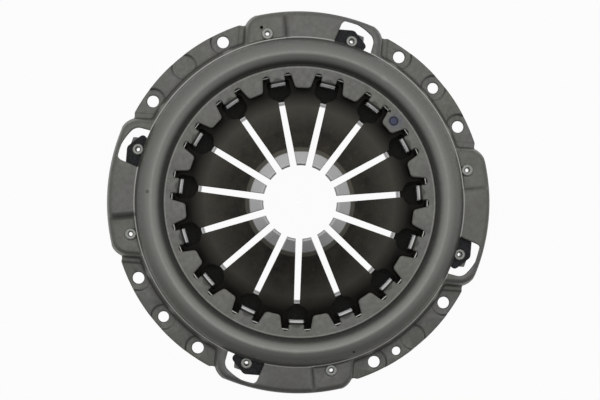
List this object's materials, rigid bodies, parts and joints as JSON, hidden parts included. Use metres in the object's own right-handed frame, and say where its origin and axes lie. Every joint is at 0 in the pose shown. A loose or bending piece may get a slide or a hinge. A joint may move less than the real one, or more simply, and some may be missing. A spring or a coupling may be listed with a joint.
{
  "type": "clutch pressure plate",
  "caption": "Diaphragm-spring clutch cover assembly with pressed drum cover, strap lobes, slotted spring fingers and a cast pressure plate that slides inside.",
  "frame": {"origin": "centre of the flywheel bolt circle, in the cover's bolting plane", "axes": "+Z along the clutch axis towards the gearbox; +X through one dowel hole, so that the bolt holes lie evenly about X and Y. In the picture +X points 40.3 degrees up from the right"},
  "size_m": [0.287, 0.287, 0.0444],
  "materials": {
    "cover_steel": "phosphated pressed steel, satin",
    "cast_iron": "as cast, face turned",
    "spring_steel": "tempered and oiled, tips polished",
    "ring_wire": "drawn wire",
    "strap_steel": "blackened strip",
    "rivet_steel": "zinc plated"
  },
  "bodies": {
    "cover": {"cover": "cover_steel", "diaphragm_spring": "spring_steel", "upper_fulcrum_ring": "ring_wire", "lower_fulcrum_ring": "ring_wire", "cover_rivet_a": "rivet_steel", "cover_rivet_b": "rivet_steel", "cover_rivet_c": "rivet_steel", "cover_rivet_d": "rivet_steel", "strap_a_top_leaf": "strap_steel", "strap_a_middle_leaf": "strap_steel", "strap_a_bottom_leaf": "strap_steel", "strap_b_top_leaf": "strap_steel", "strap_b_middle_leaf": "strap_steel", "strap_b_bottom_leaf": "strap_steel", "strap_c_top_leaf": "strap_steel", "strap_c_middle_leaf": "strap_steel", "strap_c_bottom_leaf": "strap_steel", "strap_d_top_leaf": "strap_steel", "strap_d_middle_leaf": "strap_steel", "strap_d_bottom_leaf": "strap_steel"},
    "pressure_plate": {"pressure_plate": "cast_iron", "plate_rivet_a": "rivet_steel", "plate_rivet_b": "rivet_steel", "plate_rivet_c": "rivet_steel", "plate_rivet_d": "rivet_steel"}
  },
  "joints": [
    {"name": "pressure_plate_travel", "type": "slide", "parent": "cover", "child": "pressure_plate", "axis": [0, 0, 1], "range_m": [0, 0.0032], "stiffness_N_per_m": 20000, "springref_m": -0.001, "deforming": ["diaphragm_spring", "strap_a_top_leaf", "strap_a_middle_leaf", "strap_a_bottom_leaf", "strap_b_top_leaf", "strap_b_middle_leaf", "strap_b_bottom_leaf", "strap_c_top_leaf", "strap_c_middle_leaf", "strap_c_bottom_leaf", "strap_d_top_leaf", "strap_d_middle_leaf", "strap_d_bottom_leaf"]}
  ]
}
